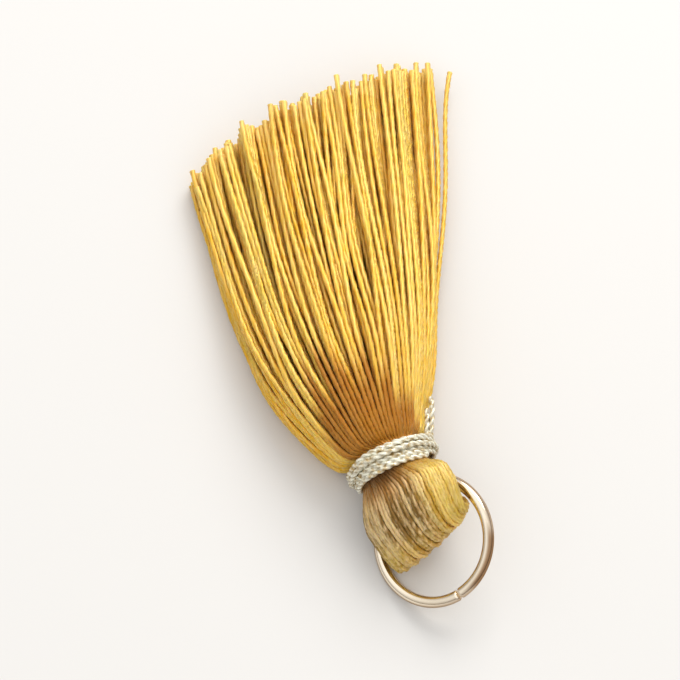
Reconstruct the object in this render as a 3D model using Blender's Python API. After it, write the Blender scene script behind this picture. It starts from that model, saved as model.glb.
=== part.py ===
"""A small silk tassel on a jump ring, lying on a table.

A bundle of silk thread is folded over the wire of a jump ring. Metallic thread binds it just below the
ring, and the cut ends fan out over the table. +Z is up, the skirt runs along +Y and the ring lies at -Y.
"""

import math
import random

import bmesh
import bpy
import numpy
from mathutils import Matrix, Vector

MM = 0.001
GAP = 0.3 * MM

# The jump ring, one turn of round wire cut from a coil
RING_OUTER_DIAMETER = 8.4 * MM
WIRE_DIAMETER = 0.7 * MM
RING_SLIT = 0.16 * MM
RING_END_OFFSET = 0.1 * MM
RING_POINTS = 45

# The neck, where the bundle is bound
NECK_RADIUS = 2.2 * MM
NECK_TURN = math.radians(9)
BINDING_WIDTH = 1.6 * MM
BINDING_THICKNESS = 0.36 * MM
BINDING_TURNS = 5
BINDING_GROOVE = 0.07 * MM
BINDING_SEGMENTS = 40
REST_SPOT_DEPTH = 0.1 * MM

# The head, which is the fold of the bundle over the wire
HEAD_LENGTH = 5.4 * MM
HEAD_ROLL = math.radians(33)
HEAD_FLUTES = 22
FLUTE_DEPTH = 0.07
EYE_DEPTH = 0.8 * MM

# The skirt of cut ends
ROOT_ROWS = 11
ROOT_ROW_PITCH = 0.18
ROOT_COLUMN_PITCH = 0.05
ROOT_EDGE = 0.98
ROOT_FILL = (0.96, 0.94)
ROOT_SINK = 0.4 * MM
STRAND_ROOT_WIDTH = 0.18 * MM
STRAND_TIP_WIDTH = 0.3 * MM
STRAND_STEPS = (0.0, 0.16, 0.4, 0.7, 1.0)
SKIRT_SPREAD = math.radians(19.2)
ROOT_TURN = math.radians(-5)
ROOT_SPREAD = math.radians(32)
TIP_TURN = math.radians(6)
TIP_SPREAD = math.radians(8)
SKIRT_THICKNESS = 3.4 * MM
SKIRT_BULGE = 0.9 * MM
TIP_UNEVENNESS = 0.45 * MM
SEED = 7
TIP_LINE = (
    # across from -1 to 1, distance of the cut ends from the middle of the neck
    (-1.0, 23.3 * MM),
    (-0.75, 24.0 * MM),
    (-0.5, 24.8 * MM),
    (0.0, 25.1 * MM),
    (0.4, 25.6 * MM),
    (0.65, 26.6 * MM),
    (1.0, 27.4 * MM),
)

RING_RADIUS = (RING_OUTER_DIAMETER - WIRE_DIAMETER) / 2
WIRE_RADIUS = WIRE_DIAMETER / 2
BINDING_INNER_RADIUS = NECK_RADIUS + GAP
BINDING_OUTER_RADIUS = BINDING_INNER_RADIUS + BINDING_THICKNESS
NECK_HEIGHT = BINDING_OUTER_RADIUS - REST_SPOT_DEPTH
NECK_EDGE = BINDING_WIDTH / 2 + 0.05 * MM
FOLD_END = -BINDING_WIDTH / 2 - HEAD_LENGTH
ROOT_END = BINDING_WIDTH / 2 + 1.6 * MM
ROOT_HALF_WIDTH = 3.85 * MM
ROOT_HALF_HEIGHT = 2.6 * MM

# The fold and the ring in it are rolled to the left, so that the ring's left side rests on the table
RING_CENTRE_ALONG = -5.6 * MM
RING_CENTRE_ACROSS = 0.35 * MM
RING_CENTRE_HEIGHT = WIRE_RADIUS + RING_RADIUS * math.sin(HEAD_ROLL)

# along the neck, half width, half height, shift to the right, rise, squareness (2 is an ellipse),
# skew, which is how much further the left side reaches, and share of the roll
BUNDLE_SECTIONS = (
    (ROOT_END, ROOT_HALF_WIDTH, ROOT_HALF_HEIGHT, 0.0, 0.0, 2.2, 0.0, 0.0),
    (ROOT_END - 0.8 * MM, 3.15 * MM, 2.45 * MM, 0.0, 0.0, 2.1, 0.0, 0.0),
    (NECK_EDGE, NECK_RADIUS, NECK_RADIUS, 0.0, 0.0, 2.0, 0.0, 0.0),
    (-NECK_EDGE, NECK_RADIUS, NECK_RADIUS, 0.0, 0.0, 2.0, 0.0, 1.0),
    (-1.35 * MM, 2.75 * MM, 2.3 * MM, 0.1 * MM, 0.1 * MM, 2.1, 0.0, 1.0),
    (-2.2 * MM, 3.3 * MM, 2.2 * MM, 0.25 * MM, 0.2 * MM, 2.2, 0.1 * MM, 1.0),
    (-3.5 * MM, 3.4 * MM, 2.1 * MM, 0.25 * MM, 0.2 * MM, 2.2, 0.3 * MM, 1.0),
    (-4.7 * MM, 3.15 * MM, 1.75 * MM, 0.2 * MM, 0.1 * MM, 2.4, 0.4 * MM, 1.0),
    (-5.5 * MM, 3.1 * MM, 1.2 * MM, 0.1 * MM, 0.05 * MM, 2.6, 0.5 * MM, 1.0),
    (-6.0 * MM, 3.05 * MM, 0.6 * MM, 0.1 * MM, 0.0, 2.6, 0.55 * MM, 1.0),
    (FOLD_END, 2.95 * MM, 0.25 * MM, 0.1 * MM, 0.0, 2.2, 0.55 * MM, 1.0),
)


def clear_scene():
    for item in list(bpy.data.objects):
        bpy.data.objects.remove(item)


def make_finish(name, colour, roughness, metallic):
    """One plain finish for one kind of piece."""
    finish = bpy.data.materials.new(name)
    finish.use_nodes = True
    shader = finish.node_tree.nodes["Principled BSDF"]
    shader.inputs["Base Color"].default_value = (*colour, 1.0)
    shader.inputs["Roughness"].default_value = roughness
    shader.inputs["Metallic"].default_value = metallic
    return finish


def make_empty(name, parent=None, matrix=None):
    empty = bpy.data.objects.new(name, None)
    bpy.context.scene.collection.objects.link(empty)
    empty.parent = parent
    if matrix is not None:
        empty.matrix_local = matrix
    return empty


def make_object(name, data, parent, finish=None, matrix=None):
    piece = bpy.data.objects.new(name, data)
    bpy.context.scene.collection.objects.link(piece)
    piece.parent = parent
    if finish is not None:
        data.materials.append(finish)
    if matrix is not None:
        piece.matrix_local = matrix
    return piece


def make_helper(name, data, parent, matrix=None):
    """A shape that a Boolean reads and that isn't part of the tassel."""
    helper = make_object(name, data, parent, matrix=matrix)
    helper.hide_render = True
    helper.display_type = "WIRE"
    return helper


def loft(sections, closed=False):
    """A closed skin through sections that hold the same number of points."""
    mesh = bmesh.new()
    rings = [[mesh.verts.new(point) for point in section] for section in sections]
    pairs = list(zip(rings, rings[1:]))
    if closed:
        pairs.append((rings[-1], rings[0]))
    for near, far in pairs:
        for k in range(len(near)):
            following = (k + 1) % len(near)
            mesh.faces.new((near[k], near[following], far[following], far[k]))
    if not closed:
        mesh.faces.new(rings[0])
        mesh.faces.new(rings[-1])
    bmesh.ops.recalc_face_normals(mesh, faces=mesh.faces)
    return mesh


def finish_mesh(name, mesh, smooth_angle=None):
    data = bpy.data.meshes.new(name)
    mesh.to_mesh(data)
    mesh.free()
    if smooth_angle is not None:
        data.shade_smooth()
        data.set_sharp_from_angle(angle=smooth_angle)
    return data


def ring_frame():
    """The ring's plane, rolled so that its left side rests on the table."""
    height = RING_CENTRE_HEIGHT - NECK_HEIGHT
    place = Matrix.Translation((RING_CENTRE_ACROSS, RING_CENTRE_ALONG, height))
    return place @ Matrix.Rotation(-HEAD_ROLL, 4, "Y")


def make_jump_ring(parent, finish):
    """One open turn of wire. Its slit faces away from the head and its ends miss each other a little."""
    curve = bpy.data.curves.new("jump_ring", "CURVE")
    curve.dimensions = "3D"
    curve.bevel_depth = WIRE_RADIUS
    curve.bevel_resolution = 3
    curve.use_fill_caps = True
    turn = curve.splines.new("POLY")
    turn.points.add(RING_POINTS - 1)
    half_slit = math.asin(RING_SLIT / 2 / RING_RADIUS)
    for k, point in enumerate(turn.points):
        share = k / (RING_POINTS - 1)
        angle = -math.pi / 2 + half_slit + share * (2 * math.pi - 2 * half_slit)
        offset = RING_END_OFFSET * (share - 0.5)
        radius = RING_RADIUS + offset / 2
        point.co = (radius * math.cos(angle), radius * math.sin(angle), offset / 2, 1)
    return make_object("jump_ring", curve, parent, finish, ring_frame())


def make_eye_cutter(parent):
    """The eye of the fold: room for the wire, narrowing to a slit towards the neck."""
    clear = WIRE_RADIUS + GAP
    half_turn = [math.radians(a) for a in range(-120, 121, 30)]
    outline = [(-clear * math.cos(a), clear * math.sin(a)) for a in half_turn]
    outline.append((EYE_DEPTH, 0.0))
    steps = 36
    sections = []
    for k in range(steps):
        angle = 2 * math.pi * k / steps
        away = Vector((math.cos(angle), math.sin(angle), 0))
        sections.append([away * (RING_RADIUS + r) + Vector((0, 0, z)) for r, z in outline])
    data = finish_mesh("eye_cutter", loft(sections, closed=True))
    return make_helper("eye_cutter", data, parent, ring_frame())


def bundle_section(along, half_width, half_height, shift, rise, squareness, skew, roll_share):
    """A closed outline across the bundle, fluted where its threads lie side by side."""
    points = []
    roll = HEAD_ROLL * roll_share
    count = 2 * HEAD_FLUTES
    for k in range(count):
        angle = 2 * math.pi * k / count
        c, s = math.cos(angle), math.sin(angle)
        reach = (abs(c) ** squareness + abs(s) ** squareness) ** (-1 / squareness)
        reach *= 1 - FLUTE_DEPTH * (k % 2)
        x, z = half_width * reach * c, half_height * reach * s
        across = x * math.cos(roll) - z * math.sin(roll) + shift
        height = x * math.sin(roll) + z * math.cos(roll) + rise
        points.append((across, along + skew * reach * c, height))
    return points


def make_thread_bundle(parent, neck, finish):
    """The fold, the neck and the fused roots of the skirt, with the cut ends joined to it."""
    body = loft([bundle_section(*row) for row in BUNDLE_SECTIONS])
    bundle = make_object("thread_bundle", finish_mesh("thread_bundle", body), neck, finish)
    eye = bundle.modifiers.new("eye", "BOOLEAN")
    eye.operation = "DIFFERENCE"
    eye.object = make_eye_cutter(neck)
    skirt = bundle.modifiers.new("skirt", "BOOLEAN")
    skirt.operation = "UNION"
    skirt.object = make_skirt(parent, neck)
    return bundle


def skirt_roots():
    """Staggered columns across the end of the roots, as (across, up, share of the pile below)."""
    roots = []
    columns = round(1 / ROOT_COLUMN_PITCH)
    middle_row = (ROOT_ROWS - 1) / 2
    for column in range(1 - columns, columns):
        across = column * ROOT_COLUMN_PITCH
        ups = [
            (row - middle_row) * ROOT_ROW_PITCH
            for row in range(ROOT_ROWS)
            if (row + column) % 2 == 0
        ]
        ups = [up for up in ups if math.hypot(across, up) < ROOT_EDGE]
        for k, up in enumerate(ups):
            roots.append((across, up, k / (len(ups) - 1) if len(ups) > 1 else 0.0))
    return roots


def flat_heading(angle):
    return Vector((math.sin(angle), math.cos(angle), 0))


def strand_path(across, up, share_below, neck_matrix, rng):
    """Centre points of one strand, from inside the roots to its cut end on the pile of the skirt."""
    fill_width, fill_height = ROOT_FILL
    root = neck_matrix @ Vector(
        (fill_width * ROOT_HALF_WIDTH * across, ROOT_END, fill_height * ROOT_HALF_HEIGHT * up)
    )
    centre = neck_matrix.translation
    pile = SKIRT_THICKNESS * math.sqrt(1 - across * across)
    tip_heading = flat_heading(TIP_TURN + TIP_SPREAD * across)
    tip = centre + flat_heading(SKIRT_SPREAD * across) * numpy.interp(across, *zip(*TIP_LINE))
    tip += tip_heading * rng.uniform(-1, 1) * TIP_UNEVENNESS
    tip.z = STRAND_TIP_WIDTH / 2 + share_below * pile
    reach = (tip - root).length / 3
    handle_a = root + flat_heading(ROOT_TURN + ROOT_SPREAD * across) * reach
    handle_a.z += SKIRT_BULGE * up
    handle_b = tip - tip_heading * reach
    points = [root - neck_matrix.to_3x3() @ Vector((0, ROOT_SINK, 0))]
    for t in STRAND_STEPS:
        s = 1 - t
        point = root * s**3 + handle_a * 3 * s * s * t + handle_b * 3 * s * t * t + tip * t**3
        point.z = max(point.z, strand_width(t) / 2)
        points.append(point)
    return points


def strand_width(share):
    """A strand's width at a share of its length: locks of thread loosen towards the cut end."""
    return STRAND_ROOT_WIDTH + (STRAND_TIP_WIDTH - STRAND_ROOT_WIDTH) * share**1.5


def strand_sections(points):
    """Square sections that keep one side level, so a strand on the table lies flat."""
    sections = []
    for k, point in enumerate(points):
        run = points[min(k + 1, len(points) - 1)] - points[max(k - 1, 0)]
        side = Vector((run.y, -run.x, 0)).normalized()
        half = strand_width(STRAND_STEPS[max(k - 1, 0)]) / 2
        corners = ((1, -1), (1, 1), (-1, 1), (-1, -1))
        sections.append([point + side * a * half + Vector((0, 0, b * half)) for a, b in corners])
    return sections


def make_skirt(parent, neck):
    """All the cut ends in one helper mesh, each its own closed strand."""
    rng = random.Random(SEED)
    neck_matrix = neck.matrix_basis
    skirt = bpy.data.meshes.new("skirt_strands")
    whole = bmesh.new()
    for across, up, share_below in skirt_roots():
        path = strand_path(across, up, share_below, neck_matrix, rng)
        strand = loft(strand_sections(path))
        strand.to_mesh(skirt)
        strand.free()
        whole.from_mesh(skirt)
    whole.to_mesh(skirt)
    whole.free()
    return make_helper("skirt_strands", skirt, parent)


def make_neck_binding(parent, finish):
    """The wound band: a sleeve with one raised helical turn beside the next and a small flat spot below."""
    steps = 2 * BINDING_TURNS + 1
    inner, outer = [], []
    for k in range(steps):
        along = BINDING_WIDTH * (k / (steps - 1) - 0.5)
        outer_ring, inner_ring = [], []
        for j in range(BINDING_SEGMENTS):
            angle = 2 * math.pi * j / BINDING_SEGMENTS
            phase = math.pi * (along / BINDING_WIDTH * BINDING_TURNS) + angle / 2
            radius = BINDING_OUTER_RADIUS - BINDING_GROOVE * abs(math.sin(phase))
            height = max(radius * math.sin(angle), -NECK_HEIGHT)
            outer_ring.append((radius * math.cos(angle), along, height))
            x, z = BINDING_INNER_RADIUS * math.cos(angle), BINDING_INNER_RADIUS * math.sin(angle)
            inner_ring.append((x, along, z))
        outer.append(outer_ring)
        inner.append(inner_ring)
    band = loft(outer + [inner[-1], inner[0]], closed=True)
    data = finish_mesh("neck_binding", band, math.radians(50))
    return make_object("neck_binding", data, parent, finish)


def rest_on_origin(whole, pieces):
    """Moves the whole tassel so that the origin is below the middle of its outline."""
    bpy.context.view_layer.update()
    graph = bpy.context.evaluated_depsgraph_get()
    corners = []
    for piece in pieces:
        shown = piece.evaluated_get(graph)
        mesh = shown.to_mesh()
        corners += [shown.matrix_world @ vertex.co for vertex in mesh.vertices]
        shown.to_mesh_clear()
    for axis in (0, 1):
        values = [corner[axis] for corner in corners]
        whole.location[axis] = -(min(values) + max(values)) / 2


def main():
    clear_scene()
    silk = make_finish("golden_silk", (0.62, 0.37, 0.06), 0.45, 0.0)
    metallic_thread = make_finish("metallic_thread", (0.72, 0.66, 0.42), 0.35, 0.7)
    plated_wire = make_finish("plated_wire", (0.86, 0.72, 0.52), 0.18, 1.0)
    tassel = make_empty("tassel")
    place = Matrix.Translation((0, 0, NECK_HEIGHT)) @ Matrix.Rotation(NECK_TURN, 4, "Z")
    neck = make_empty("neck", tassel, place)
    pieces = [
        make_jump_ring(neck, plated_wire),
        make_thread_bundle(tassel, neck, silk),
        make_neck_binding(neck, metallic_thread),
    ]
    rest_on_origin(tassel, pieces)


main()
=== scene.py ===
"""The looks of the silk tassel: its spun threads, the metallic thread bound round its neck, and its ring.

Every silk thread is made at its full length: from one cut end in the skirt through the neck, over the
ring's wire in the head, back through the neck and out to another cut end.
"""

import math
import random

import bmesh
import bpy
from mathutils import Matrix, Vector


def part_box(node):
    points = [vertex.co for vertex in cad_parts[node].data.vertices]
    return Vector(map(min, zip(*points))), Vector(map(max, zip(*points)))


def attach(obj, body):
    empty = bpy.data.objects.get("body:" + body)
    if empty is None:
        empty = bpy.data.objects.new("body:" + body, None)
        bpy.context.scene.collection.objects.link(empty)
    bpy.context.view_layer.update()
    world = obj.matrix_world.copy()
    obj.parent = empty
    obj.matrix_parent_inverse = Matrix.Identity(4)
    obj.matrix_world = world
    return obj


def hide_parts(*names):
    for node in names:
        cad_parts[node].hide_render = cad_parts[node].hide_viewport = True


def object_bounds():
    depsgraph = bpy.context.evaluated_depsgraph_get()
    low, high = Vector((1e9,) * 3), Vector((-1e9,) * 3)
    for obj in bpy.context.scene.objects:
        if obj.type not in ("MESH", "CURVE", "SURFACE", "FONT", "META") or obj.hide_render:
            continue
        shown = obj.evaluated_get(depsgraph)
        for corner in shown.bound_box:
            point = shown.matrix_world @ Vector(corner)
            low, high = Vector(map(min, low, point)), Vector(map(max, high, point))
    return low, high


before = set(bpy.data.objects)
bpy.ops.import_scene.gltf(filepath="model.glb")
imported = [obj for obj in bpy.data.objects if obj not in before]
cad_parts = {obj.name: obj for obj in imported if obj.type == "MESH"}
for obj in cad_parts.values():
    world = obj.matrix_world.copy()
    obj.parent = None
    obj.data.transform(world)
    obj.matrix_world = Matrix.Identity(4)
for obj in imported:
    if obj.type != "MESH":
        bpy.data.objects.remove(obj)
solid_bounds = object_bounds()

MM = 0.001
SEED = 21

# Silk thread: three plies spun together
THREAD_RADIUS = 0.175 * MM
THREAD_SIDES = 6
THREAD_PLIES = 3
THREAD_TWIST_LENGTH = 3.2 * MM
TWIST_VARIATION = 0.35
THICKNESS_VARIATION = 0.1
THREAD_STEP = 0.32 * MM
PLY_GROOVE = 0.09
NECK_SQUEEZE = 0.8
# shares of the skirt's run and of half the head's run over which the squeeze lets go
SKIRT_RELEASE = 0.2
HEAD_RELEASE = 0.5
BROWN_REACH = (
    # across from -1 to 1, how far from the neck the threads stay brown, painted as the shade on the
    # skirt's steep rise from the binding
    (-0.92, 0.8 * MM),
    (-0.74, 5.4 * MM),
    (-0.5, 9.0 * MM),
    (0.0, 9.8 * MM),
    (0.2, 8.2 * MM),
    (0.45, 5.8 * MM),
    (0.75, 4.0 * MM),
    (0.95, 1.5 * MM),
)
TONE_BANDS = (
    # across from -1 to 1, tone from deep at 0 to bright at 1
    (-1.0, 0.35),
    (-0.7, 0.75),
    (-0.35, 0.6),
    (-0.1, 0.3),
    (0.15, 0.5),
    (0.5, 0.8),
    (1.0, 0.7),
)
TONE_SCATTER = 0.55
BROWN_SCATTER = (0.66, 1.08)
BROWN_FADE = 0.78
# distances from the middle of the neck between which each painted shade of the head fades: the brown, the
# shadow in the crease under the binding, and the greyer shade and sheen
HEAD_BROWN = (2.5 * MM, 4.1 * MM)
HEAD_BINDING_SHADOW = (2.4 * MM, 3.0 * MM)
HEAD_SHEEN_SHADE = (5.0 * MM, 6.2 * MM)
CUT_END_SWELL = 1.12

# How the folded threads fill the bundle, from its skin inwards
ROW_REACH = 0.94
ROW_PITCH = 0.13
ROW_COUNTS = (40, 36, 30, 24, 16)
OUTER_ROWS = 2
SPACING_SCATTER = 0.16
DEPTH_SCATTER = 0.022
CROSSING_SCATTER = 0.05

# The neck and what is wound round it
NECK_TURN = math.radians(9)
NECK_HEIGHT = 2.76 * MM
NECK_RADIUS = 2.25 * MM
# lowest place of a thread's middle, above the middle of the neck and above the table
LOWEST_BY_NECK = 1.1 * THREAD_RADIUS - NECK_HEIGHT
LOWEST_IN_SKIRT = 1.02 * THREAD_RADIUS
ROOT_ROWS = (
    # along the neck, half width, half height, shift to the right, drop of the sides
    (0.8 * MM, 2.35 * MM, 2.25 * MM, -0.05 * MM, 0.3 * MM),
    (1.2 * MM, 3.05 * MM, 2.6 * MM, -0.15 * MM, 0.8 * MM),
    (2.3 * MM, 3.7 * MM, 3.0 * MM, -0.15 * MM, 1.1 * MM),
)

# The head, where the threads fold over the wire. It is rolled to the left with the ring in it
HEAD_ROLL = math.radians(33)
NECK_START = 0.4 * MM
HEAD_START = 0.5 * MM
FOLD_END = 6.2 * MM
FOLD_SKEW = 0.55 * MM
HEAD_HALF_HEIGHT = 2.35 * MM
HEAD_SQUARENESS = 2.3
HEAD_ROWS = (
    # distance from the neck's middle, half width, shift to the right, rise
    (0.0 * MM, 2.25 * MM, 0.0, 0.0),
    (1.0 * MM, 2.1 * MM, 0.0, 0.0),
    (1.45 * MM, 2.7 * MM, 0.15 * MM, 0.05 * MM),
    (2.2 * MM, 3.4 * MM, 0.35 * MM, 0.2 * MM),
    (3.5 * MM, 3.6 * MM, 0.2 * MM, 0.2 * MM),
    (4.7 * MM, 3.35 * MM, 0.15 * MM, 0.1 * MM),
    (6.0 * MM, 3.1 * MM, 0.1 * MM, 0.0),
)
# how far the underside's threads draw in on the raised side, as a share of their width
UNDERSIDE_TUCK = 0.3
WIRE_CLEARANCE = 0.72 * MM
WIRE_DROP = 0.45 * MM
# over this length past its start the head takes its own shape
HEAD_SWELL = 1.3 * MM
HEAD_STEPS = 18
# how closely the side threads of the inner rows follow the head's skin
SIDE_FOLLOW = 0.85
FOLD_CORNER = 0.3 * MM
# power of the curve that a loop over the wire follows, seen from the side
LOOP_POWER = 2.6
FOLD_UNEVENNESS = (-0.13 * MM, 0.1 * MM)

# The skirt
SKIRT_TURN = math.radians(1)
SKIRT_SPREAD = math.radians(20)
ROOT_TURN = math.radians(-4)
ROOT_SPREAD = math.radians(31)
TIP_TURN = math.radians(7)
TIP_SPREAD = math.radians(7)
TIP_LINE = (
    # across from -1 to 1, distance of the cut ends from the middle of the neck
    (-1.0, 23.1 * MM),
    (-0.75, 23.4 * MM),
    (-0.5, 24.1 * MM),
    (0.0, 24.8 * MM),
    (0.4, 25.4 * MM),
    (0.6, 26.4 * MM),
    (1.0, 27.4 * MM),
)
SKIRT_THICKNESS = 3.3 * MM
SKIRT_BULGE = 1.7 * MM
LOCKS_ACROSS = 8.5
LOCK_DRAW = 0.015
TIP_UNEVENNESS = 0.5 * MM
TIP_SCATTER = 0.75
LOCK_UNEVENNESS = 0.32
THREAD_WANDER = 0.16 * MM
LEVEL_SCATTER = 0.05
SPREAD_SCATTER = 0.022
SKIRT_STEPS = 14
STRAY_ENDS = (
    # across from -1 to 1, turn of the whole thread, of its end and of its root, length share, end height
    (0.95, math.radians(3.2), math.radians(13), math.radians(3), 0.985, 1.2 * MM),
    (-0.95, math.radians(-3.6), math.radians(-3.6), math.radians(-5), 0.86, 0.3 * MM),
    (-0.9, math.radians(-2.6), math.radians(-2.6), math.radians(-3), 0.9, 0.9 * MM),
    (-0.84, math.radians(-2.4), math.radians(-2.4), math.radians(-2), 0.94, 1.7 * MM),
    (0.88, math.radians(0.8), math.radians(0.8), 0, 0.95, 0.6 * MM),
    (-0.5, math.radians(1.2), math.radians(1.2), 0, 1.025, 3.4 * MM),
    (-0.28, math.radians(1.6), math.radians(1.6), 0, 1.025, 3.9 * MM),
    (0.42, math.radians(-2.4), math.radians(-2.4), 0, 1.025, 3.8 * MM),
)

# The binding: metallic thread in close turns, with a few turns that cross the others
BINDING_THREAD_RADIUS = 0.19 * MM
BINDING_RADIUS = 2.58 * MM
BINDING_PLIES = 2
BINDING_TWIST_LENGTH = 1.1 * MM
BINDING_STEP = 0.06 * MM
BINDING_GROOVE = 0.34
BINDING_SIDES = 10
BINDING_TURN_STEPS = 36
SLOW_WOBBLE = 0.03 * MM
QUICK_WOBBLE = 0.025 * MM
BINDING_ROWS = (
    # turns, width covered, middle along the neck, start angle, lift, slant
    (5, 1.3 * MM, -0.2 * MM, math.radians(40), 0.0, -0.15 * MM),
    (1.1, 0.5 * MM, -0.1 * MM, math.radians(190), 0.24 * MM, 0.3 * MM),
    (1.3, 0.3 * MM, 0.3 * MM, math.radians(60), 0.27 * MM, -0.22 * MM),
    (1.15, 0.6 * MM, -0.2 * MM, math.radians(300), 0.3 * MM, 0.12 * MM),
)
# along, across and up from where the last crossing turn leaves the neck
TAIL_POINTS = (
    (0.35 * MM, 0.25 * MM, 0.05 * MM),
    (0.9 * MM, 0.6 * MM, 0.1 * MM),
    (1.6 * MM, 0.95 * MM, 0.2 * MM),
    (2.2 * MM, 1.25 * MM, 0.25 * MM),
    (2.8 * MM, 1.4 * MM, 0.2 * MM),
)
TAIL_SPACING = 0.3 * MM
SECOND_TAIL_LENGTH = 0.8

# The jump ring
RING_RADIUS = 3.85 * MM
WIRE_RADIUS = 0.35 * MM
RING_CENTRE_ALONG = 5.6 * MM
RING_CENTRE_ACROSS = 0.35 * MM
RING_CENTRE_HEIGHT = WIRE_RADIUS + RING_RADIUS * math.sin(HEAD_ROLL)
RING_SLIT = 0.13 * MM
RING_END_OFFSET = 0.1 * MM
RING_STEPS = 180
WIRE_END_BEVEL = 0.06 * MM
WIRE_END_SCALE = 0.86
# painted dark reflection: brown on the plating where the ring would mirror dark things beside it. Its
# broad arc is in angles round the ring, from its slit at -90 degrees towards its right side at 0
DARK_REFLECTION_ARC = (math.radians(-92), math.radians(-5))
DARK_REFLECTION_FADE = math.radians(25)
# cosines round the wire, from its outermost line at 1, between which each painted dark reflection comes
# in
THIN_DARK_REFLECTION = (0.4, 0.9)
BROAD_DARK_REFLECTION = (-0.05, 0.65)
THIN_DARK_REFLECTION_SHARE = 0.6
WIRE_SIDES = 28

# The table, the light and the view
TABLE_HALF = 2.0
SKY_STRENGTH = 1.1
KEY_PLACE = (0.16, 0.24, 0.26)
KEY_SIZE = (0.24, 0.24)
KEY_POWER = 1.0
CAMERA_ELEVATION = math.radians(70)
CAMERA_TURN = math.radians(15)
CAMERA_DISTANCE = 0.32
CAMERA_LENS = 270
VIEW_SHIFT = Vector((-1.6, 0.24, 0.0)) * MM

rng = random.Random(SEED)


def smooth(value):
    """Eases a value that runs from 0 to 1, and holds it at either end."""
    value = min(max(value, 0.0), 1.0)
    return value * value * (3 - 2 * value)


def fade(value, near, far):
    """Falls smoothly from 1 at near to 0 at far."""
    return smooth((far - value) / (far - near))


def interpolate(rows, at, column=1):
    """The value in one column of a table whose first column rises."""
    for near, far in zip(rows, rows[1:]):
        if at <= far[0]:
            share = max((at - near[0]) / (far[0] - near[0]), 0)
            return near[column] + (far[column] - near[column]) * share
    return rows[-1][column]


def neck_matrix():
    """The neck's place: +Y along it to the skirt, the origin in the middle of the binding."""
    low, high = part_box("neck_binding")
    place = Matrix.Translation(((low[0] + high[0]) / 2, (low[1] + high[1]) / 2, NECK_HEIGHT))
    return place @ Matrix.Rotation(NECK_TURN, 4, "Z")


# Nodes

def add_node(tree, kind, inputs=None, **settings):
    """A node with its settings, and with each input linked to a socket or set to a value."""
    node = tree.nodes.new(kind)
    for name, value in settings.items():
        setattr(node, name, value)
    for name, value in (inputs or {}).items():
        if isinstance(value, bpy.types.NodeSocket):
            tree.links.new(value, node.inputs[name])
        else:
            node.inputs[name].default_value = value
    return node


def calculate(tree, operation, first, second=0.0, third=0.0):
    """One Math node on values or sockets."""
    node = add_node(tree, "ShaderNodeMath", {0: first, 1: second, 2: third}, operation=operation)
    return node.outputs[0]


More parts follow.
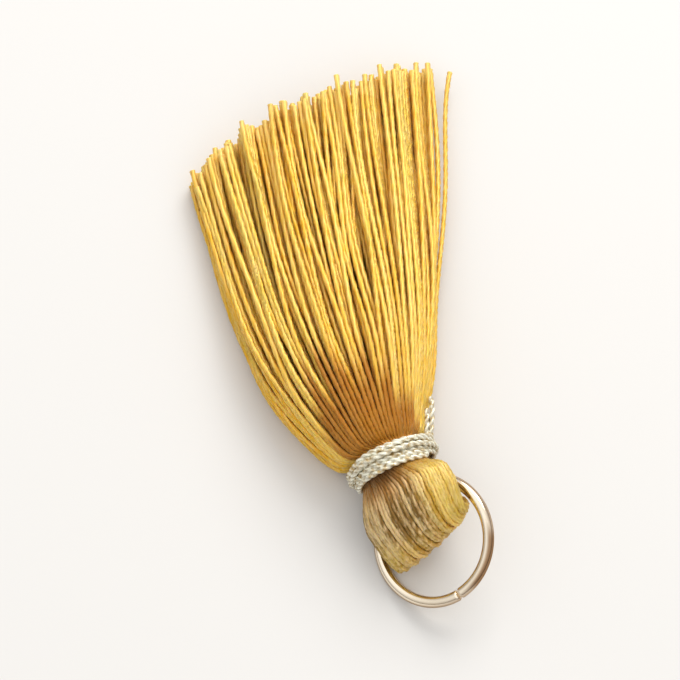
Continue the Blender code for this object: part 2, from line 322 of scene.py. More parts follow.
def spun_thread_tree():
    """Sweeps every guide line into a thread of plies that twist about each other."""
    tree = bpy.data.node_groups.new("spun_thread", "GeometryNodeTree")
    interface = tree.interface
    interface.new_socket("Geometry", in_out="INPUT", socket_type="NodeSocketGeometry")
    for name, kind, value in (
        ("Radius", "NodeSocketFloat", THREAD_RADIUS),
        ("Sides", "NodeSocketInt", THREAD_SIDES),
        ("Plies", "NodeSocketInt", THREAD_PLIES),
        ("Ply Groove", "NodeSocketFloat", PLY_GROOVE),
        ("Twist Length", "NodeSocketFloat", THREAD_TWIST_LENGTH),
        ("Twist Variation", "NodeSocketFloat", TWIST_VARIATION),
        ("Step", "NodeSocketFloat", THREAD_STEP),
        ("Seed", "NodeSocketInt", SEED),
        ("Material", "NodeSocketMaterial", None),
    ):
        socket = interface.new_socket(name, in_out="INPUT", socket_type=kind)
        if value is not None:
            socket.default_value = value
    interface.new_socket("Geometry", in_out="OUTPUT", socket_type="NodeSocketGeometry")
    entry = tree.nodes.new("NodeGroupInput").outputs
    full_turn = 2 * math.pi

    lines = add_node(tree, "GeometryNodeMeshToCurve", {"Mesh": entry["Geometry"]})
    curved = add_node(
        tree, "GeometryNodeCurveSplineType", {"Curve": lines.outputs[0]}, spline_type="CATMULL_ROM"
    )
    even = add_node(
        tree, "GeometryNodeResampleCurve",
        {"Curve": curved.outputs[0], "Length": entry["Step"]}, mode="LENGTH",
    )
    along = add_node(tree, "GeometryNodeSplineParameter").outputs["Length"]
    line = add_node(tree, "GeometryNodeCurveOfPoint").outputs["Curve Index"]
    start = add_node(
        tree, "FunctionNodeRandomValue",
        {2: 0.0, 3: full_turn, "ID": line, "Seed": entry["Seed"]}, data_type="FLOAT",
    ).outputs[1]
    least = calculate(tree, "SUBTRACT", 1.0, entry["Twist Variation"])
    most = calculate(tree, "ADD", 1.0, entry["Twist Variation"])
    tightness = add_node(
        tree, "FunctionNodeRandomValue",
        {2: least, 3: most, "ID": line, "Seed": entry["Seed"]}, data_type="FLOAT",
    ).outputs[1]
    even_turns = calculate(tree, "DIVIDE", along, entry["Twist Length"])
    turns = calculate(tree, "MULTIPLY", even_turns, tightness)
    tilt = calculate(tree, "MULTIPLY_ADD", turns, full_turn, start)
    twisted = add_node(
        tree, "GeometryNodeSetCurveTilt", {"Curve": even.outputs[0], "Tilt": tilt}
    )

    circle = add_node(
        tree, "GeometryNodeCurvePrimitiveCircle",
        {"Resolution": entry["Sides"], "Radius": entry["Radius"]}, mode="RADIUS",
    )
    corner = add_node(tree, "GeometryNodeInputIndex").outputs[0]
    turn_share = calculate(tree, "DIVIDE", corner, entry["Sides"])
    ply_angle = calculate(
        tree, "MULTIPLY", calculate(tree, "MULTIPLY", turn_share, entry["Plies"]), full_turn
    )
    ridge = calculate(tree, "MULTIPLY_ADD", calculate(tree, "COSINE", ply_angle), 0.5, 0.5)
    hollow = calculate(tree, "SUBTRACT", 1.0, ridge)
    reach = calculate(
        tree, "SUBTRACT", 1.0, calculate(tree, "MULTIPLY", hollow, entry["Ply Groove"])
    )
    spot = add_node(tree, "GeometryNodeInputPosition").outputs[0]
    moved = add_node(
        tree, "ShaderNodeVectorMath", {0: spot, "Scale": reach}, operation="SCALE"
    ).outputs[0]
    lobed = add_node(
        tree, "GeometryNodeSetPosition", {"Geometry": circle.outputs[0], "Position": moved}
    )
    profile = add_node(
        tree, "GeometryNodeStoreNamedAttribute",
        {"Geometry": lobed.outputs[0], "Name": "ply_ridge", "Value": ridge},
        data_type="FLOAT", domain="POINT",
    )

    thickness = add_node(
        tree, "GeometryNodeInputNamedAttribute", {"Name": "thickness"}, data_type="FLOAT"
    ).outputs["Attribute"]
    swept = add_node(
        tree, "GeometryNodeCurveToMesh",
        {
            "Curve": twisted.outputs[0], "Profile Curve": profile.outputs[0],
            "Scale": thickness, "Fill Caps": True,
        },
    )
    rounded = add_node(
        tree, "GeometryNodeSetShadeSmooth", {"Geometry": swept.outputs[0]}, domain="FACE"
    )
    real = add_node(tree, "GeometryNodeRealizeInstances", {"Geometry": rounded.outputs[0]})
    finished = add_node(
        tree, "GeometryNodeSetMaterial",
        {"Geometry": real.outputs[0], "Material": entry["Material"]},
    )
    leave = tree.nodes.new("NodeGroupOutput")
    tree.links.new(finished.outputs[0], leave.inputs["Geometry"])
    return tree


def set_input(modifier, name, value):
    """Sets a modifier's input by the name that its socket shows."""
    for item in modifier.node_group.interface.items_tree:
        if item.item_type == "SOCKET" and item.in_out == "INPUT" and item.name == name:
            modifier[item.identifier] = value


def spin_threads(name, tree, guides, material, **sizes):
    """Turns guide lines into one plain mesh of spun threads.

    A guide is (points, values by name), with one value of each name for each point.
    """
    positions, edges = [], []
    values = {label: [] for label in guides[0][1]}
    for points, guide_values in guides:
        first = len(positions)
        positions += [tuple(point) for point in points]
        edges += [(k, k + 1) for k in range(first, first + len(points) - 1)]
        for label, along in guide_values.items():
            values[label] += along
    lines = bpy.data.meshes.new(name + "_guides")
    lines.from_pydata(positions, edges, [])
    for label, along in values.items():
        lines.attributes.new(label, "FLOAT", "POINT").data.foreach_set("value", along)
    guide = bpy.data.objects.new(name + "_guides", lines)
    bpy.context.scene.collection.objects.link(guide)
    spin = guide.modifiers.new("spin", "NODES")
    spin.node_group = tree
    set_input(spin, "Material", material)
    for label, value in sizes.items():
        set_input(spin, label.replace("_", " ").title(), value)
    graph = bpy.context.evaluated_depsgraph_get()
    mesh = bpy.data.meshes.new_from_object(guide.evaluated_get(graph), depsgraph=graph)
    mesh.name = name
    bpy.data.objects.remove(guide)
    piece = bpy.data.objects.new(name, mesh)
    bpy.context.scene.collection.objects.link(piece)
    return piece


# Silk threads

def thread_places():
    """Each folded thread's place in the bundle's upper half, as (row, across, up) in a unit circle."""
    places = []
    for row, count in enumerate(ROW_COUNTS):
        reach = ROW_REACH - row * ROW_PITCH
        for k in range(count):
            angle = math.pi * (k + 0.5 + rng.uniform(-1, 1) * SPACING_SCATTER) / count
            depth = reach + rng.uniform(-1, 1) * DEPTH_SCATTER
            places.append((row, depth * math.cos(angle), depth * math.sin(angle)))
    return places


def head_points(across, up, across_back):
    """The thread's run over the wire, from the top of the neck to the underside of the neck."""
    layer = up / math.sqrt(1 - across * across)
    share_out = layer + SIDE_FOLLOW * (1 - layer) * smooth((math.hypot(across, up) - 0.6) / 0.3)
    skin = HEAD_HALF_HEIGHT * (1 - abs(across) ** HEAD_SQUARENESS) ** (1 / HEAD_SQUARENESS)
    from_ring = interpolate(HEAD_ROWS, FOLD_END) * across - RING_CENTRE_ACROSS
    wire_along = RING_CENTRE_ALONG - math.sqrt(RING_RADIUS**2 - from_ring**2)
    edge = FOLD_END - FOLD_SKEW * across - THREAD_RADIUS - FOLD_CORNER * across**4
    reach = wire_along + WIRE_CLEARANCE + (edge - wire_along - WIRE_CLEARANCE) * share_out
    reach += rng.uniform(*FOLD_UNEVENNESS)
    points = []
    for k in range(HEAD_STEPS + 1):
        share = math.sin(math.pi * k / HEAD_STEPS)
        along = HEAD_START + (reach - HEAD_START) * share
        swelling = smooth((along - HEAD_START) / HEAD_SWELL)
        side = 1 if k < HEAD_STEPS / 2 else -1
        clear = WIRE_CLEARANCE - side * WIRE_DROP
        rise = max(clear + (skin - clear) * share_out, clear)
        bow = math.sqrt(1 - share**LOOP_POWER)
        bulge = 0.88 + 0.12 * smooth(share / 0.4)
        loop_height = side * rise * bow * bulge
        neck_height = side * NECK_RADIUS * up
        height = neck_height + (loop_height - neck_height) * swelling
        drift = across + (across_back - across) * smooth(k / HEAD_STEPS)
        if side < 0 and drift > 0:
            drift *= 1 - UNDERSIDE_TUCK * drift * smooth((1 - share) * 3) * swelling
        points.append(rolled_point(interpolate(HEAD_ROWS, along) * drift, along, height))
    return points


def rolled_point(across, along, height):
    """A place in the head, given in the head's own rolled frame."""
    shift = interpolate(HEAD_ROWS, along, 2)
    rise = interpolate(HEAD_ROWS, along, 3)
    place = Matrix.Rotation(-HEAD_ROLL, 3, "Y") @ Vector((across, -along, height))
    place += Vector((shift, 0, rise))
    place.z = max(place.z, LOWEST_BY_NECK)
    return place


def flat_heading(angle):
    """A level direction, turned to the right from +Y."""
    return Vector((math.sin(angle), math.cos(angle), 0))


def root_points(neck, across, up):
    """One thread's run from the middle of the neck to where the skirt spreads out."""
    points = [neck @ Vector((NECK_RADIUS * across, NECK_START, NECK_RADIUS * up))]
    for along, width, height, shift, drop in ROOT_ROWS:
        rise = max(height * up - drop * across * across, LOWEST_BY_NECK)
        points.append(neck @ Vector((width * across + shift, along, rise)))
    return points


def swaying_points(root, start, finish, tip):
    """The points after the root on a Bezier curve that sways a little, sideways and up and down."""
    wander_side = rng.gauss(0, 1) * THREAD_WANDER
    wander_up = rng.gauss(0, 0.6) * THREAD_WANDER
    phase = rng.uniform(0, 2 * math.pi)
    cycles = rng.uniform(0.6, 1.5)
    points = []
    for k in range(1, SKIRT_STEPS + 1):
        t = k / SKIRT_STEPS
        s = 1 - t
        point = root * s**3 + start * 3 * s * s * t + finish * 3 * s * t * t + tip * t**3
        sway = math.sin(2 * math.pi * cycles * t + phase) * smooth(t * 3)
        point += Vector((wander_side * sway, 0, wander_up * sway))
        point.z = max(point.z, LOWEST_IN_SKIRT)
        points.append(point)
    return points


def skirt_points(neck, across, up, stray=None):
    """One thread's run from the middle of the neck to its cut end, in the tassel's frame."""
    points = root_points(neck, across, up)
    root = points[-1]
    chord = math.sqrt(1 - across * across)
    level = min(max((up / chord + 1) / 2 + rng.uniform(-1, 1) * LEVEL_SCATTER, 0), 1)
    spread = across + rng.gauss(0, SPREAD_SCATTER)
    spread += LOCK_DRAW * math.sin(math.pi * LOCKS_ACROSS * spread + 2.2 * level)
    lock_length = math.sin(7.3 * across + 1.1) + 0.7 * math.sin(17.9 * across + 4 * level)
    length = interpolate(TIP_LINE, spread)
    extra = TIP_UNEVENNESS * (LOCK_UNEVENNESS * lock_length + rng.uniform(-TIP_SCATTER, TIP_SCATTER))
    heading = SKIRT_TURN + SKIRT_SPREAD * spread
    thickness = SKIRT_THICKNESS * math.sqrt(max(1 - 0.9 * spread * spread, 0.05))
    tip_height = LOWEST_IN_SKIRT + level * thickness
    root_heading = ROOT_TURN + ROOT_SPREAD * across
    tip_heading = TIP_TURN + TIP_SPREAD * spread
    if stray:
        _, turn, tip_turn, root_turn, length_share, tip_height = stray
        heading += turn
        root_heading += root_turn
        tip_heading += tip_turn
        length *= length_share
    tip = neck.translation + flat_heading(heading) * length
    tip += flat_heading(tip_heading) * extra
    tip.z = tip_height
    reach = (tip - root).length / 3
    start = root + flat_heading(root_heading) * reach + Vector((0, 0, SKIRT_BULGE * up))
    finish = tip - flat_heading(tip_heading) * reach
    return points + swaying_points(root, start, finish, tip)


def thread_widths(count, head_count):
    """Thickness along a folded thread: squeezed at the neck and loose at its cut ends."""
    own = rng.uniform(1 - THICKNESS_VARIATION, 1 + THICKNESS_VARIATION)
    skirt = (count - head_count) // 2
    side = []
    for k in range(skirt):
        t = k / (skirt - 1)
        side.append(NECK_SQUEEZE + (1 - NECK_SQUEEZE) * smooth(t / SKIRT_RELEASE))
    side[-1] = CUT_END_SWELL
    head = []
    for k in range(head_count):
        t = 2 * min(k + 1, head_count - k) / head_count
        head.append(NECK_SQUEEZE + (1 - NECK_SQUEEZE) * smooth(t / HEAD_RELEASE))
    return [own * width for width in side[::-1] + head + side]


def thread_tones(points, head_count, neck, across):
    """How much painted shade a folded thread carries: brown near the binding, greyer with a painted sheen
    in the head, and near black as a painted shadow in the crease under the binding.
    """
    skirt = (len(points) - head_count) // 2
    reach = interpolate(BROWN_REACH, across) * rng.uniform(*BROWN_SCATTER)
    painted_brown_shade, head_sheen_shade, binding_shadow = [], [], []
    for k, point in enumerate(points):
        away = (point - neck.translation).length
        in_head = skirt <= k < skirt + head_count
        if in_head:
            # painted shade: brown in the head next to the binding
            painted_brown_shade.append(0.8 * fade(away, *HEAD_BROWN))
            # painted light and shade: the head is painted greyer with a painted sheen, and its right
            # side, which faces the light, keeps less of it
            bright_side = 0.75 * smooth(2 * across - 0.4)
            head_sheen_shade.append((1 - bright_side) * (0.5 + 0.5 * fade(away, *HEAD_SHEEN_SHADE)))
            # painted shadow: near black in the crease just under the binding
            binding_shadow.append(fade(away, *HEAD_BINDING_SHADOW))
        else:
            # painted shade: brown where the skirt rises steeply from the binding and faces away from the
            # light
            painted_brown_shade.append(fade(away, BROWN_FADE * reach, reach))
            head_sheen_shade.append(0.0)
            binding_shadow.append(0.0)
    return painted_brown_shade, head_sheen_shade, binding_shadow


def silk_guides(neck):
    """Guide lines for the threads in the skin of the bundle, and for those inside it."""
    ends = []
    for row, across, up in thread_places():
        across_back = min(max(across + rng.uniform(-1, 1) * CROSSING_SCATTER, -0.95), 0.95)
        up_back = math.sqrt(max(across * across + up * up - across_back**2, 0.01))
        ends.append([row, across, up, across_back, -up_back])
    strays = {}
    for stray in STRAY_ENDS:
        free = [k for k in range(len(ends)) if k not in strays and ends[k][0] < OUTER_ROWS]
        nearest = min(free, key=lambda k: abs(ends[k][1] - stray[0]))
        strays[nearest] = stray
    skin, inside = [], []
    for k, (row, across, up, across_back, up_back) in enumerate(ends):
        top = skirt_points(neck, across, up, strays.get(k))
        below = skirt_points(neck, across_back, up_back)
        head = [neck @ point for point in head_points(across, up, across_back)]
        points = top[::-1] + head + below
        painted_brown_shade, head_sheen_shade, binding_shadow = thread_tones(points, len(head), neck, across)
        tone = interpolate(TONE_BANDS, across) + rng.uniform(-1, 1) * TONE_SCATTER
        guide = (points, {
            "thickness": thread_widths(len(points), len(head)),
            "painted_brown_shade": painted_brown_shade,
            "head_sheen_shade": head_sheen_shade,
            "binding_shadow": binding_shadow,
            "shade": [min(max(tone, 0.0), 1.0)] * len(points),
            "cut_end": [1.0] + [0.0] * (len(points) - 2) + [1.0],
        })
        (skin if row < OUTER_ROWS else inside).append(guide)
    return skin, inside


# Binding and ring

def binding_path(turns, width, middle, start_angle, lift, slant):
    """A helix about the neck. Lift raises it over the turns below, and slant tips it along the neck."""
    points = []
    steps = int(turns * BINDING_TURN_STEPS)
    for k in range(steps + 1):
        share = k / steps
        angle = start_angle + 2 * math.pi * turns * share
        wobble = SLOW_WOBBLE * math.sin(3 * angle + 1.3) + QUICK_WOBBLE * math.sin(5.3 * angle)
        rise = BINDING_RADIUS + lift * smooth(share * 6) * smooth((1 - share) * 6) + 0.4 * wobble
        along = middle + width * (share - 0.5) + wobble + slant * math.sin(angle)
        points.append(Vector((rise * math.cos(angle), along, rise * math.sin(angle))))
    return points


def binding_guides(neck):
    """Guide lines for the binding's turns and for the two loose ends of the last one."""
    paths = [binding_path(*row) for row in BINDING_ROWS]
    leave = paths[-1][-1]
    tail = [Vector((across, along, up)) for along, across, up in TAIL_POINTS]
    paths[-1] += [leave + point for point in tail]
    beside = leave - Vector((TAIL_SPACING, 0, 0))
    paths.append([beside] + [beside + point * SECOND_TAIL_LENGTH for point in tail])
    guides = []
    for path in paths:
        points = [neck @ point for point in path]
        for point in points:
            point.z = max(point.z, BINDING_THREAD_RADIUS)
        guides.append((points, {"thickness": [1.0] * len(points)}))
    return guides


def outer_dark_reflection(angle, turn):
    """How much painted dark reflection the plating carries, in brown: a thin line all round the outside,
    and a broad one right of the slit.
    """
    near, far = DARK_REFLECTION_ARC
    outward = math.cos(turn)
    thin = THIN_DARK_REFLECTION_SHARE * (1 - fade(outward, *THIN_DARK_REFLECTION))
    along = smooth((angle - near) / DARK_REFLECTION_FADE) * smooth((far - angle) / DARK_REFLECTION_FADE)
    return max(thin, along * (1 - fade(outward, *BROAD_DARK_REFLECTION)))


def make_jump_ring(neck, material):
    """One open turn of round wire, with its two cut faces not quite in line."""
    height = RING_CENTRE_HEIGHT - NECK_HEIGHT
    place = Matrix.Translation((RING_CENTRE_ACROSS, -RING_CENTRE_ALONG, height))
    ring = neck @ place @ Matrix.Rotation(-HEAD_ROLL, 4, "Y")
    half_slit = math.asin(RING_SLIT / 2 / RING_RADIUS)
    mesh = bmesh.new()
    sections, painted_dark_reflection = [], []
    arc = 2 * math.pi - 2 * half_slit
    shares = [0, WIRE_END_BEVEL / (RING_RADIUS * arc)]
    shares += [k / RING_STEPS for k in range(1, RING_STEPS)]
    shares += [1 - shares[1], 1]
    for k, share in enumerate(shares):
        angle = -math.pi / 2 + half_slit + share * arc
        offset = RING_END_OFFSET * (share - 0.5)
        radius = RING_RADIUS + offset / 2
        end = WIRE_END_SCALE if k in (0, len(shares) - 1) else 1
        away = Vector((math.cos(angle), math.sin(angle), 0))
        centre = away * radius + Vector((0, 0, offset / 2))
        section = []
        for j in range(WIRE_SIDES):
            turn = 2 * math.pi * j / WIRE_SIDES
            spot = away * math.cos(turn) + Vector((0, 0, math.sin(turn)))
            section.append(mesh.verts.new(ring @ (centre + spot * WIRE_RADIUS * end)))
            # painted dark reflection for this corner of the wire
            painted_dark_reflection.append(outer_dark_reflection(angle, turn))
        sections.append(section)
    for near, far in zip(sections, sections[1:]):
        for j in range(WIRE_SIDES):
            following = (j + 1) % WIRE_SIDES
            mesh.faces.new((near[j], near[following], far[following], far[j]))
    mesh.faces.new(sections[0])
    mesh.faces.new(sections[-1])
    bmesh.ops.recalc_face_normals(mesh, faces=mesh.faces)
    data = bpy.data.meshes.new("plated_jump_ring")
    mesh.to_mesh(data)
    mesh.free()
    data.attributes.new("painted_dark_reflection", "FLOAT", "POINT").data.foreach_set("value", painted_dark_reflection)
    data.shade_smooth()
    data.set_sharp_from_angle(angle=math.radians(40))
    data.materials.append(material)
    piece = bpy.data.objects.new("plated_jump_ring", data)
    bpy.context.scene.collection.objects.link(piece)
    return piece


# Finishes

def new_material(name):
    """A node material, as (material, its tree, its main shader)."""
    material = bpy.data.materials.new(name)
    material.use_nodes = True
    return material, material.node_tree, material.node_tree.nodes["Principled BSDF"]


def attribute(tree, name):
    """The value that the mesh stores under a name."""
    return add_node(tree, "ShaderNodeAttribute", attribute_name=name).outputs["Fac"]


def mix_colours(tree, share, first, second):
    """A colour between two colours or sockets, at a share that is a value or a socket."""
    node = add_node(tree, "ShaderNodeMix", data_type="RGBA")
    for index, value in ((0, share), (6, first), (7, second)):
        if isinstance(value, bpy.types.NodeSocket):
            tree.links.new(value, node.inputs[index])
        elif index == 0:
            node.inputs[index].default_value = value
        else:
            node.inputs[index].default_value = (*value, 1)
    return node.outputs[2]


def shader_group(name, inputs, outputs):
    """An empty shader group with its sockets, as (group, inputs by name, output node)."""
    group = bpy.data.node_groups.new(name, "ShaderNodeTree")
    for label, value in inputs:
        socket = group.interface.new_socket(label, in_out="INPUT", socket_type="NodeSocketFloat")
        socket.default_value = value
    for label, kind in outputs:
        group.interface.new_socket(label, in_out="OUTPUT", socket_type=kind)
    return group, group.nodes.new("NodeGroupInput").outputs, group.nodes.new("NodeGroupOutput")


def uneven_group():
    """A value that wanders between Low and High over the piece, as patches or as streaks along Y."""
    inputs = (("Scale", 400.0), ("Stretch", 1.0), ("Detail", 2.0), ("Low", 0.0), ("High", 1.0))
    group, entry, leave = shader_group("uneven", inputs, (("Value", "NodeSocketFloat"),))
    place = add_node(group, "ShaderNodeTexCoord").outputs["Object"]
    squash = calculate(group, "DIVIDE", 1.0, entry["Stretch"])
    scale = add_node(group, "ShaderNodeCombineXYZ", {0: 1.0, 1: squash, 2: 1.0}).outputs[0]
    streaked = add_node(
        group, "ShaderNodeVectorMath", {0: place, 1: scale}, operation="MULTIPLY"
    ).outputs[0]
    noise = add_node(
        group, "ShaderNodeTexNoise",
        {"Vector": streaked, "Scale": entry["Scale"], "Detail": entry["Detail"]},
    ).outputs["Fac"]
    span = calculate(group, "SUBTRACT", entry["High"], entry["Low"])
    value = calculate(group, "MULTIPLY_ADD", noise, span, entry["Low"])
    group.links.new(value, leave.inputs["Value"])
    return group


def spun_relief_group(uneven):
    """Painted shade in the grooves between the plies of a thread, and the relief of its plies and fibres.
    """
    inputs = (
        ("Groove", 0.5), ("Fibre Scale", 9000.0), ("Fibre Stretch", 1.0), ("Fibre Height", 0.25),
        ("Strength", 0.4), ("Distance", 0.00004),
    )
    outputs = (("Painted Groove Shade", "NodeSocketFloat"), ("Normal", "NodeSocketVector"))
    group, entry, leave = shader_group("spun_relief", inputs, outputs)
    ridge = attribute(group, "ply_ridge")
    hollow = calculate(group, "SUBTRACT", 1.0, ridge)
    # painted shade: the grooves between the plies are darkened
    mask = calculate(group, "MULTIPLY", hollow, entry["Groove"])
    group.links.new(mask, leave.inputs["Painted Groove Shade"])
    fibres = add_node(
        group, "ShaderNodeGroup",
        {"Scale": entry["Fibre Scale"], "Stretch": entry["Fibre Stretch"]}, node_tree=uneven,
    ).outputs["Value"]
    height = calculate(group, "MULTIPLY_ADD", fibres, entry["Fibre Height"], ridge)
    bump = add_node(
        group, "ShaderNodeBump",
        {"Height": height, "Strength": entry["Strength"], "Distance": entry["Distance"]},
    )
    group.links.new(bump.outputs[0], leave.inputs["Normal"])
    return group


def uneven_value(tree, uneven, scale, low, high, detail=2.0, stretch=1.0):
    """The value of one use of the uneven group."""
    inputs = {"Scale": scale, "Stretch": stretch, "Detail": detail, "Low": low, "High": high}
    return add_node(tree, "ShaderNodeGroup", inputs, node_tree=uneven).outputs["Value"]


def silk_material(uneven, spun_relief):
    """Lustrous mustard gold silk: each thread has its own tone. Painted shade makes it brown near the
    binding, near black in the crease under it and darker in the grooves between its plies; the head is
    painted greyer with a painted sheen, lighter on its right side.
    """
    material, tree, shader = new_material("golden_silk")
    deep, light = (0.58, 0.25, 0.004), (1.0, 0.71, 0.26)
    tone = mix_colours(tree, attribute(tree, "shade"), (0.80, 0.44, 0.018), (0.98, 0.645, 0.120))
    streaks = uneven_value(tree, uneven, 4200, -1.4, 2.4, detail=3.0, stretch=7.0)
    paler = calculate(tree, "MULTIPLY", streaks, 0.45)
    tone = mix_colours(tree, paler, tone, light)
    relief = add_node(
        tree, "ShaderNodeGroup",
        {
            "Groove": 0.3, "Fibre Scale": 6500, "Fibre Stretch": 5.0, "Fibre Height": 0.6,
            "Strength": 0.35,
        },
        node_tree=spun_relief,
    )
    # painted shade: darker in the grooves between the plies
    tone = mix_colours(tree, relief.outputs["Painted Groove Shade"], tone, deep)
    # painted sheen and shade of the head: a greyer tone with fibre streaks and each thread's own tone
    worn = calculate(tree, "MULTIPLY_ADD", attribute(tree, "shade"), 1.3, -0.75)
    head_sheen_shade_tone = mix_colours(
        tree, calculate(tree, "ADD", streaks, worn), (0.11, 0.052, 0.020), (0.78, 0.55, 0.31)
    )
    head_sheen_shade = calculate(tree, "MULTIPLY", attribute(tree, "head_sheen_shade"), 0.82)
    tone = mix_colours(tree, head_sheen_shade, tone, head_sheen_shade_tone)
    # painted shade: brown near the binding
    painted_brown_shade = calculate(tree, "MULTIPLY", attribute(tree, "painted_brown_shade"), 0.88)
    tone = mix_colours(tree, painted_brown_shade, tone, (0.40, 0.14, 0.010))
    # painted shadow: near black in the crease under the binding
    binding_shadow = calculate(tree, "MULTIPLY", attribute(tree, "binding_shadow"), 0.8)
    tone = mix_colours(tree, binding_shadow, tone, (0.085, 0.036, 0.010))
    cut = calculate(tree, "MULTIPLY", attribute(tree, "cut_end"), 0.5)
    tone = mix_colours(tree, cut, tone, light)
    tree.links.new(tone, shader.inputs["Base Color"])
    tree.links.new(relief.outputs["Normal"], shader.inputs["Normal"])
    tree.links.new(uneven_value(tree, uneven, 1500, 0.3, 0.5), shader.inputs["Roughness"])
    shader.inputs["Subsurface Weight"].default_value = 0.4
    shader.inputs["Subsurface Radius"].default_value = (1.0, 0.55, 0.15)
    shader.inputs["Subsurface Scale"].default_value = 0.0004
    shader.inputs["Sheen Weight"].default_value = 0.14
    shader.inputs["Sheen Roughness"].default_value = 0.35
    shader.inputs["Sheen Tint"].default_value = (1.0, 0.80, 0.50, 1)
    shader.inputs["Metallic"].default_value = 0.2
    shader.inputs["Specular IOR Level"].default_value = 0.45
    shader.inputs["Specular Tint"].default_value = (1.0, 0.84, 0.60, 1)
    return material


def metallic_thread_material(uneven, spun_relief):
    """Metallised thread: a bright pale film wrapped over a core, with painted shade darkening the gaps
    between the wraps.
    """
    material, tree, shader = new_material("metallic_thread")
    glint = uneven_value(tree, uneven, 3400, -1.3, 2.9, detail=2.0)
    tone = mix_colours(tree, glint, (0.60, 0.42, 0.16), (1.0, 1.0, 0.84))
    relief = add_node(
        tree, "ShaderNodeGroup",
        {"Groove": 0.55, "Fibre Scale": 5200, "Fibre Height": 0.8, "Strength": 0.6},
        node_tree=spun_relief,
    )
    # painted shade: darker in the gaps between the wraps
    tone = mix_colours(tree, relief.outputs["Painted Groove Shade"], tone, (0.22, 0.14, 0.05))
    tree.links.new(tone, shader.inputs["Base Color"])
    tree.links.new(relief.outputs["Normal"], shader.inputs["Normal"])
    tree.links.new(uneven_value(tree, uneven, 5200, 0.36, 0.14), shader.inputs["Roughness"])
    shader.inputs["Metallic"].default_value = 0.25
    shader.inputs["Specular IOR Level"].default_value = 0.9
    return material


def plated_wire_material(uneven):
    """Polished pale gold plating with fine drawing marks, a paler, duller bloom in places, and brown
    painted dark reflection along its outside.
    """
    material, tree, shader = new_material("plated_wire")
    bloom = uneven_value(tree, uneven, 350, 0.0, 1.0, detail=3.0)
    tone = mix_colours(tree, bloom, (0.92, 0.77, 0.56), (1.0, 0.93, 0.80))
    # painted dark reflection: the plating turns brown where the ring would mirror dark things beside it
    tone = mix_colours(tree, attribute(tree, "painted_dark_reflection"), tone, (0.33, 0.20, 0.11))
    tree.links.new(tone, shader.inputs["Base Color"])
    shader.inputs["Metallic"].default_value = 1.0
    shader.inputs["Specular Tint"].default_value = (0.50, 0.33, 0.18, 1)
    tree.links.new(uneven_value(tree, uneven, 350, 0.06, 0.22, detail=3.0), shader.inputs["Roughness"])
    marks = uneven_value(tree, uneven, 6000, 0.0, 1.0, detail=3.0)
    bump = add_node(tree, "ShaderNodeBump", {"Height": marks, "Strength": 0.12, "Distance": 0.00002})
    tree.links.new(bump.outputs[0], shader.inputs["Normal"])
    return material


# The table, the light and the camera

def make_table():
    """A plain pale top for the tassel to lie on."""
    data = bpy.data.meshes.new("table_top")
    corners = [(TABLE_HALF * x, TABLE_HALF * y, 0) for x, y in ((-1, -1), (1, -1), (1, 1), (-1, 1))]
    data.from_pydata(corners, [], [(0, 1, 2, 3)])
    material, _, shader = new_material("white_card")
    shader.inputs["Base Color"].default_value = (0.72, 0.712, 0.70, 1)
    shader.inputs["Roughness"].default_value = 0.7
    data.materials.append(material)
    table = bpy.data.objects.new("table_top", data)
    bpy.context.scene.collection.objects.link(table)


def make_light(name, place, size, power, colour):
    """A soft rectangular light that faces the origin."""
    data = bpy.data.lights.new(name, "AREA")
    data.shape = "RECTANGLE"
    data.size, data.size_y = size
    data.energy = power
    data.color = colour
    light = bpy.data.objects.new(name, data)
    light.location = place
    light.rotation_euler = (-Vector(place)).to_track_quat("-Z", "Y").to_euler()
    bpy.context.scene.collection.objects.link(light)


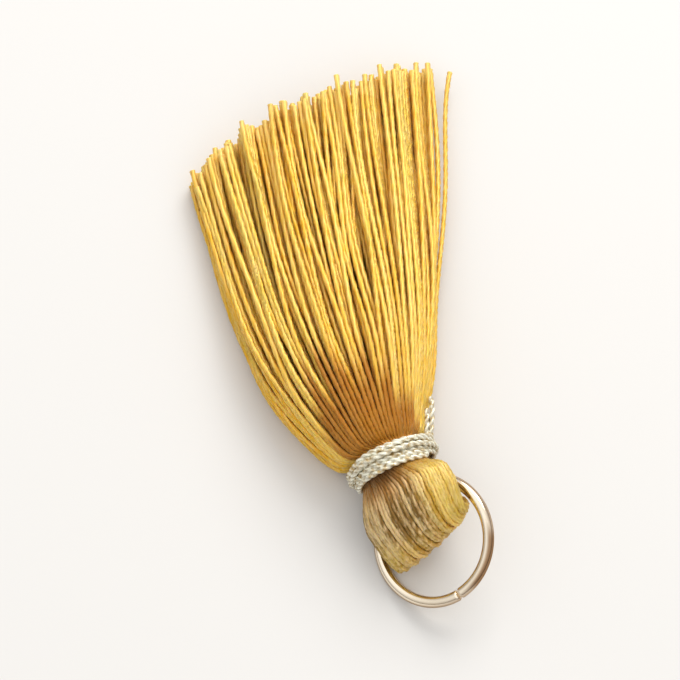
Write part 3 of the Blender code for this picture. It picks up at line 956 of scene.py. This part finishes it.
def make_lights():
    """A bright overhead sky that is darker near the horizon, and a soft key from the far right."""
    world = bpy.data.worlds.new("studio")
    bpy.context.scene.world = world
    world.use_nodes = True
    tree = world.node_tree
    direction = add_node(tree, "ShaderNodeTexCoord").outputs["Generated"]
    height = add_node(tree, "ShaderNodeSeparateXYZ", {0: direction}).outputs["Z"]
    rise = add_node(
        tree, "ShaderNodeMapRange", {"Value": height, "From Min": 0.0, "From Max": 0.75}
    ).outputs[0]
    sky = mix_colours(tree, rise, (0.20, 0.16, 0.13), (1, 0.995, 0.98))
    tree.links.new(sky, tree.nodes["Background"].inputs["Color"])
    tree.nodes["Background"].inputs["Strength"].default_value = SKY_STRENGTH
    make_light("key", KEY_PLACE, KEY_SIZE, KEY_POWER, (1, 0.98, 0.95))
    bpy.context.scene.view_settings.view_transform = "Standard"


def make_camera():
    """Looks down at the tassel from the ring's side, a little from the left."""
    low, high = solid_bounds
    middle = Vector([(a + b) / 2 for a, b in zip(low, high)])
    facing = Vector((math.sin(CAMERA_TURN), math.cos(CAMERA_TURN), 0)) * math.cos(CAMERA_ELEVATION)
    facing.z = -math.sin(CAMERA_ELEVATION)
    data = bpy.data.cameras.new("camera")
    data.lens = CAMERA_LENS
    data.clip_start = 0.001
    camera = bpy.data.objects.new("camera", data)
    camera.location = middle + VIEW_SHIFT - facing * CAMERA_DISTANCE
    camera.rotation_euler = facing.to_track_quat("-Z", "Y").to_euler()
    bpy.context.scene.collection.objects.link(camera)
    bpy.context.scene.camera = camera


def hold(piece, node):
    """The piece rides with the tassel and stands for one of its solids."""
    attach(piece, "root")
    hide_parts(node)


def main():
    make_camera()
    neck = neck_matrix()
    tree = spun_thread_tree()
    uneven = uneven_group()
    spun_relief = spun_relief_group(uneven)
    silk = silk_material(uneven, spun_relief)
    skin, inside = silk_guides(neck)
    hold(spin_threads("silk_threads_outer", tree, skin, silk), "thread_bundle")
    hold(spin_threads("silk_threads_inner", tree, inside, silk), "thread_bundle")
    binding = spin_threads(
        "wound_metallic_thread", tree, binding_guides(neck),
        metallic_thread_material(uneven, spun_relief),
        radius=BINDING_THREAD_RADIUS, sides=BINDING_SIDES, plies=BINDING_PLIES,
        ply_groove=BINDING_GROOVE, twist_length=BINDING_TWIST_LENGTH, twist_variation=0.0,
        step=BINDING_STEP,
    )
    hold(binding, "neck_binding")
    hold(make_jump_ring(neck, plated_wire_material(uneven)), "jump_ring")
    make_table()
    make_lights()


main()
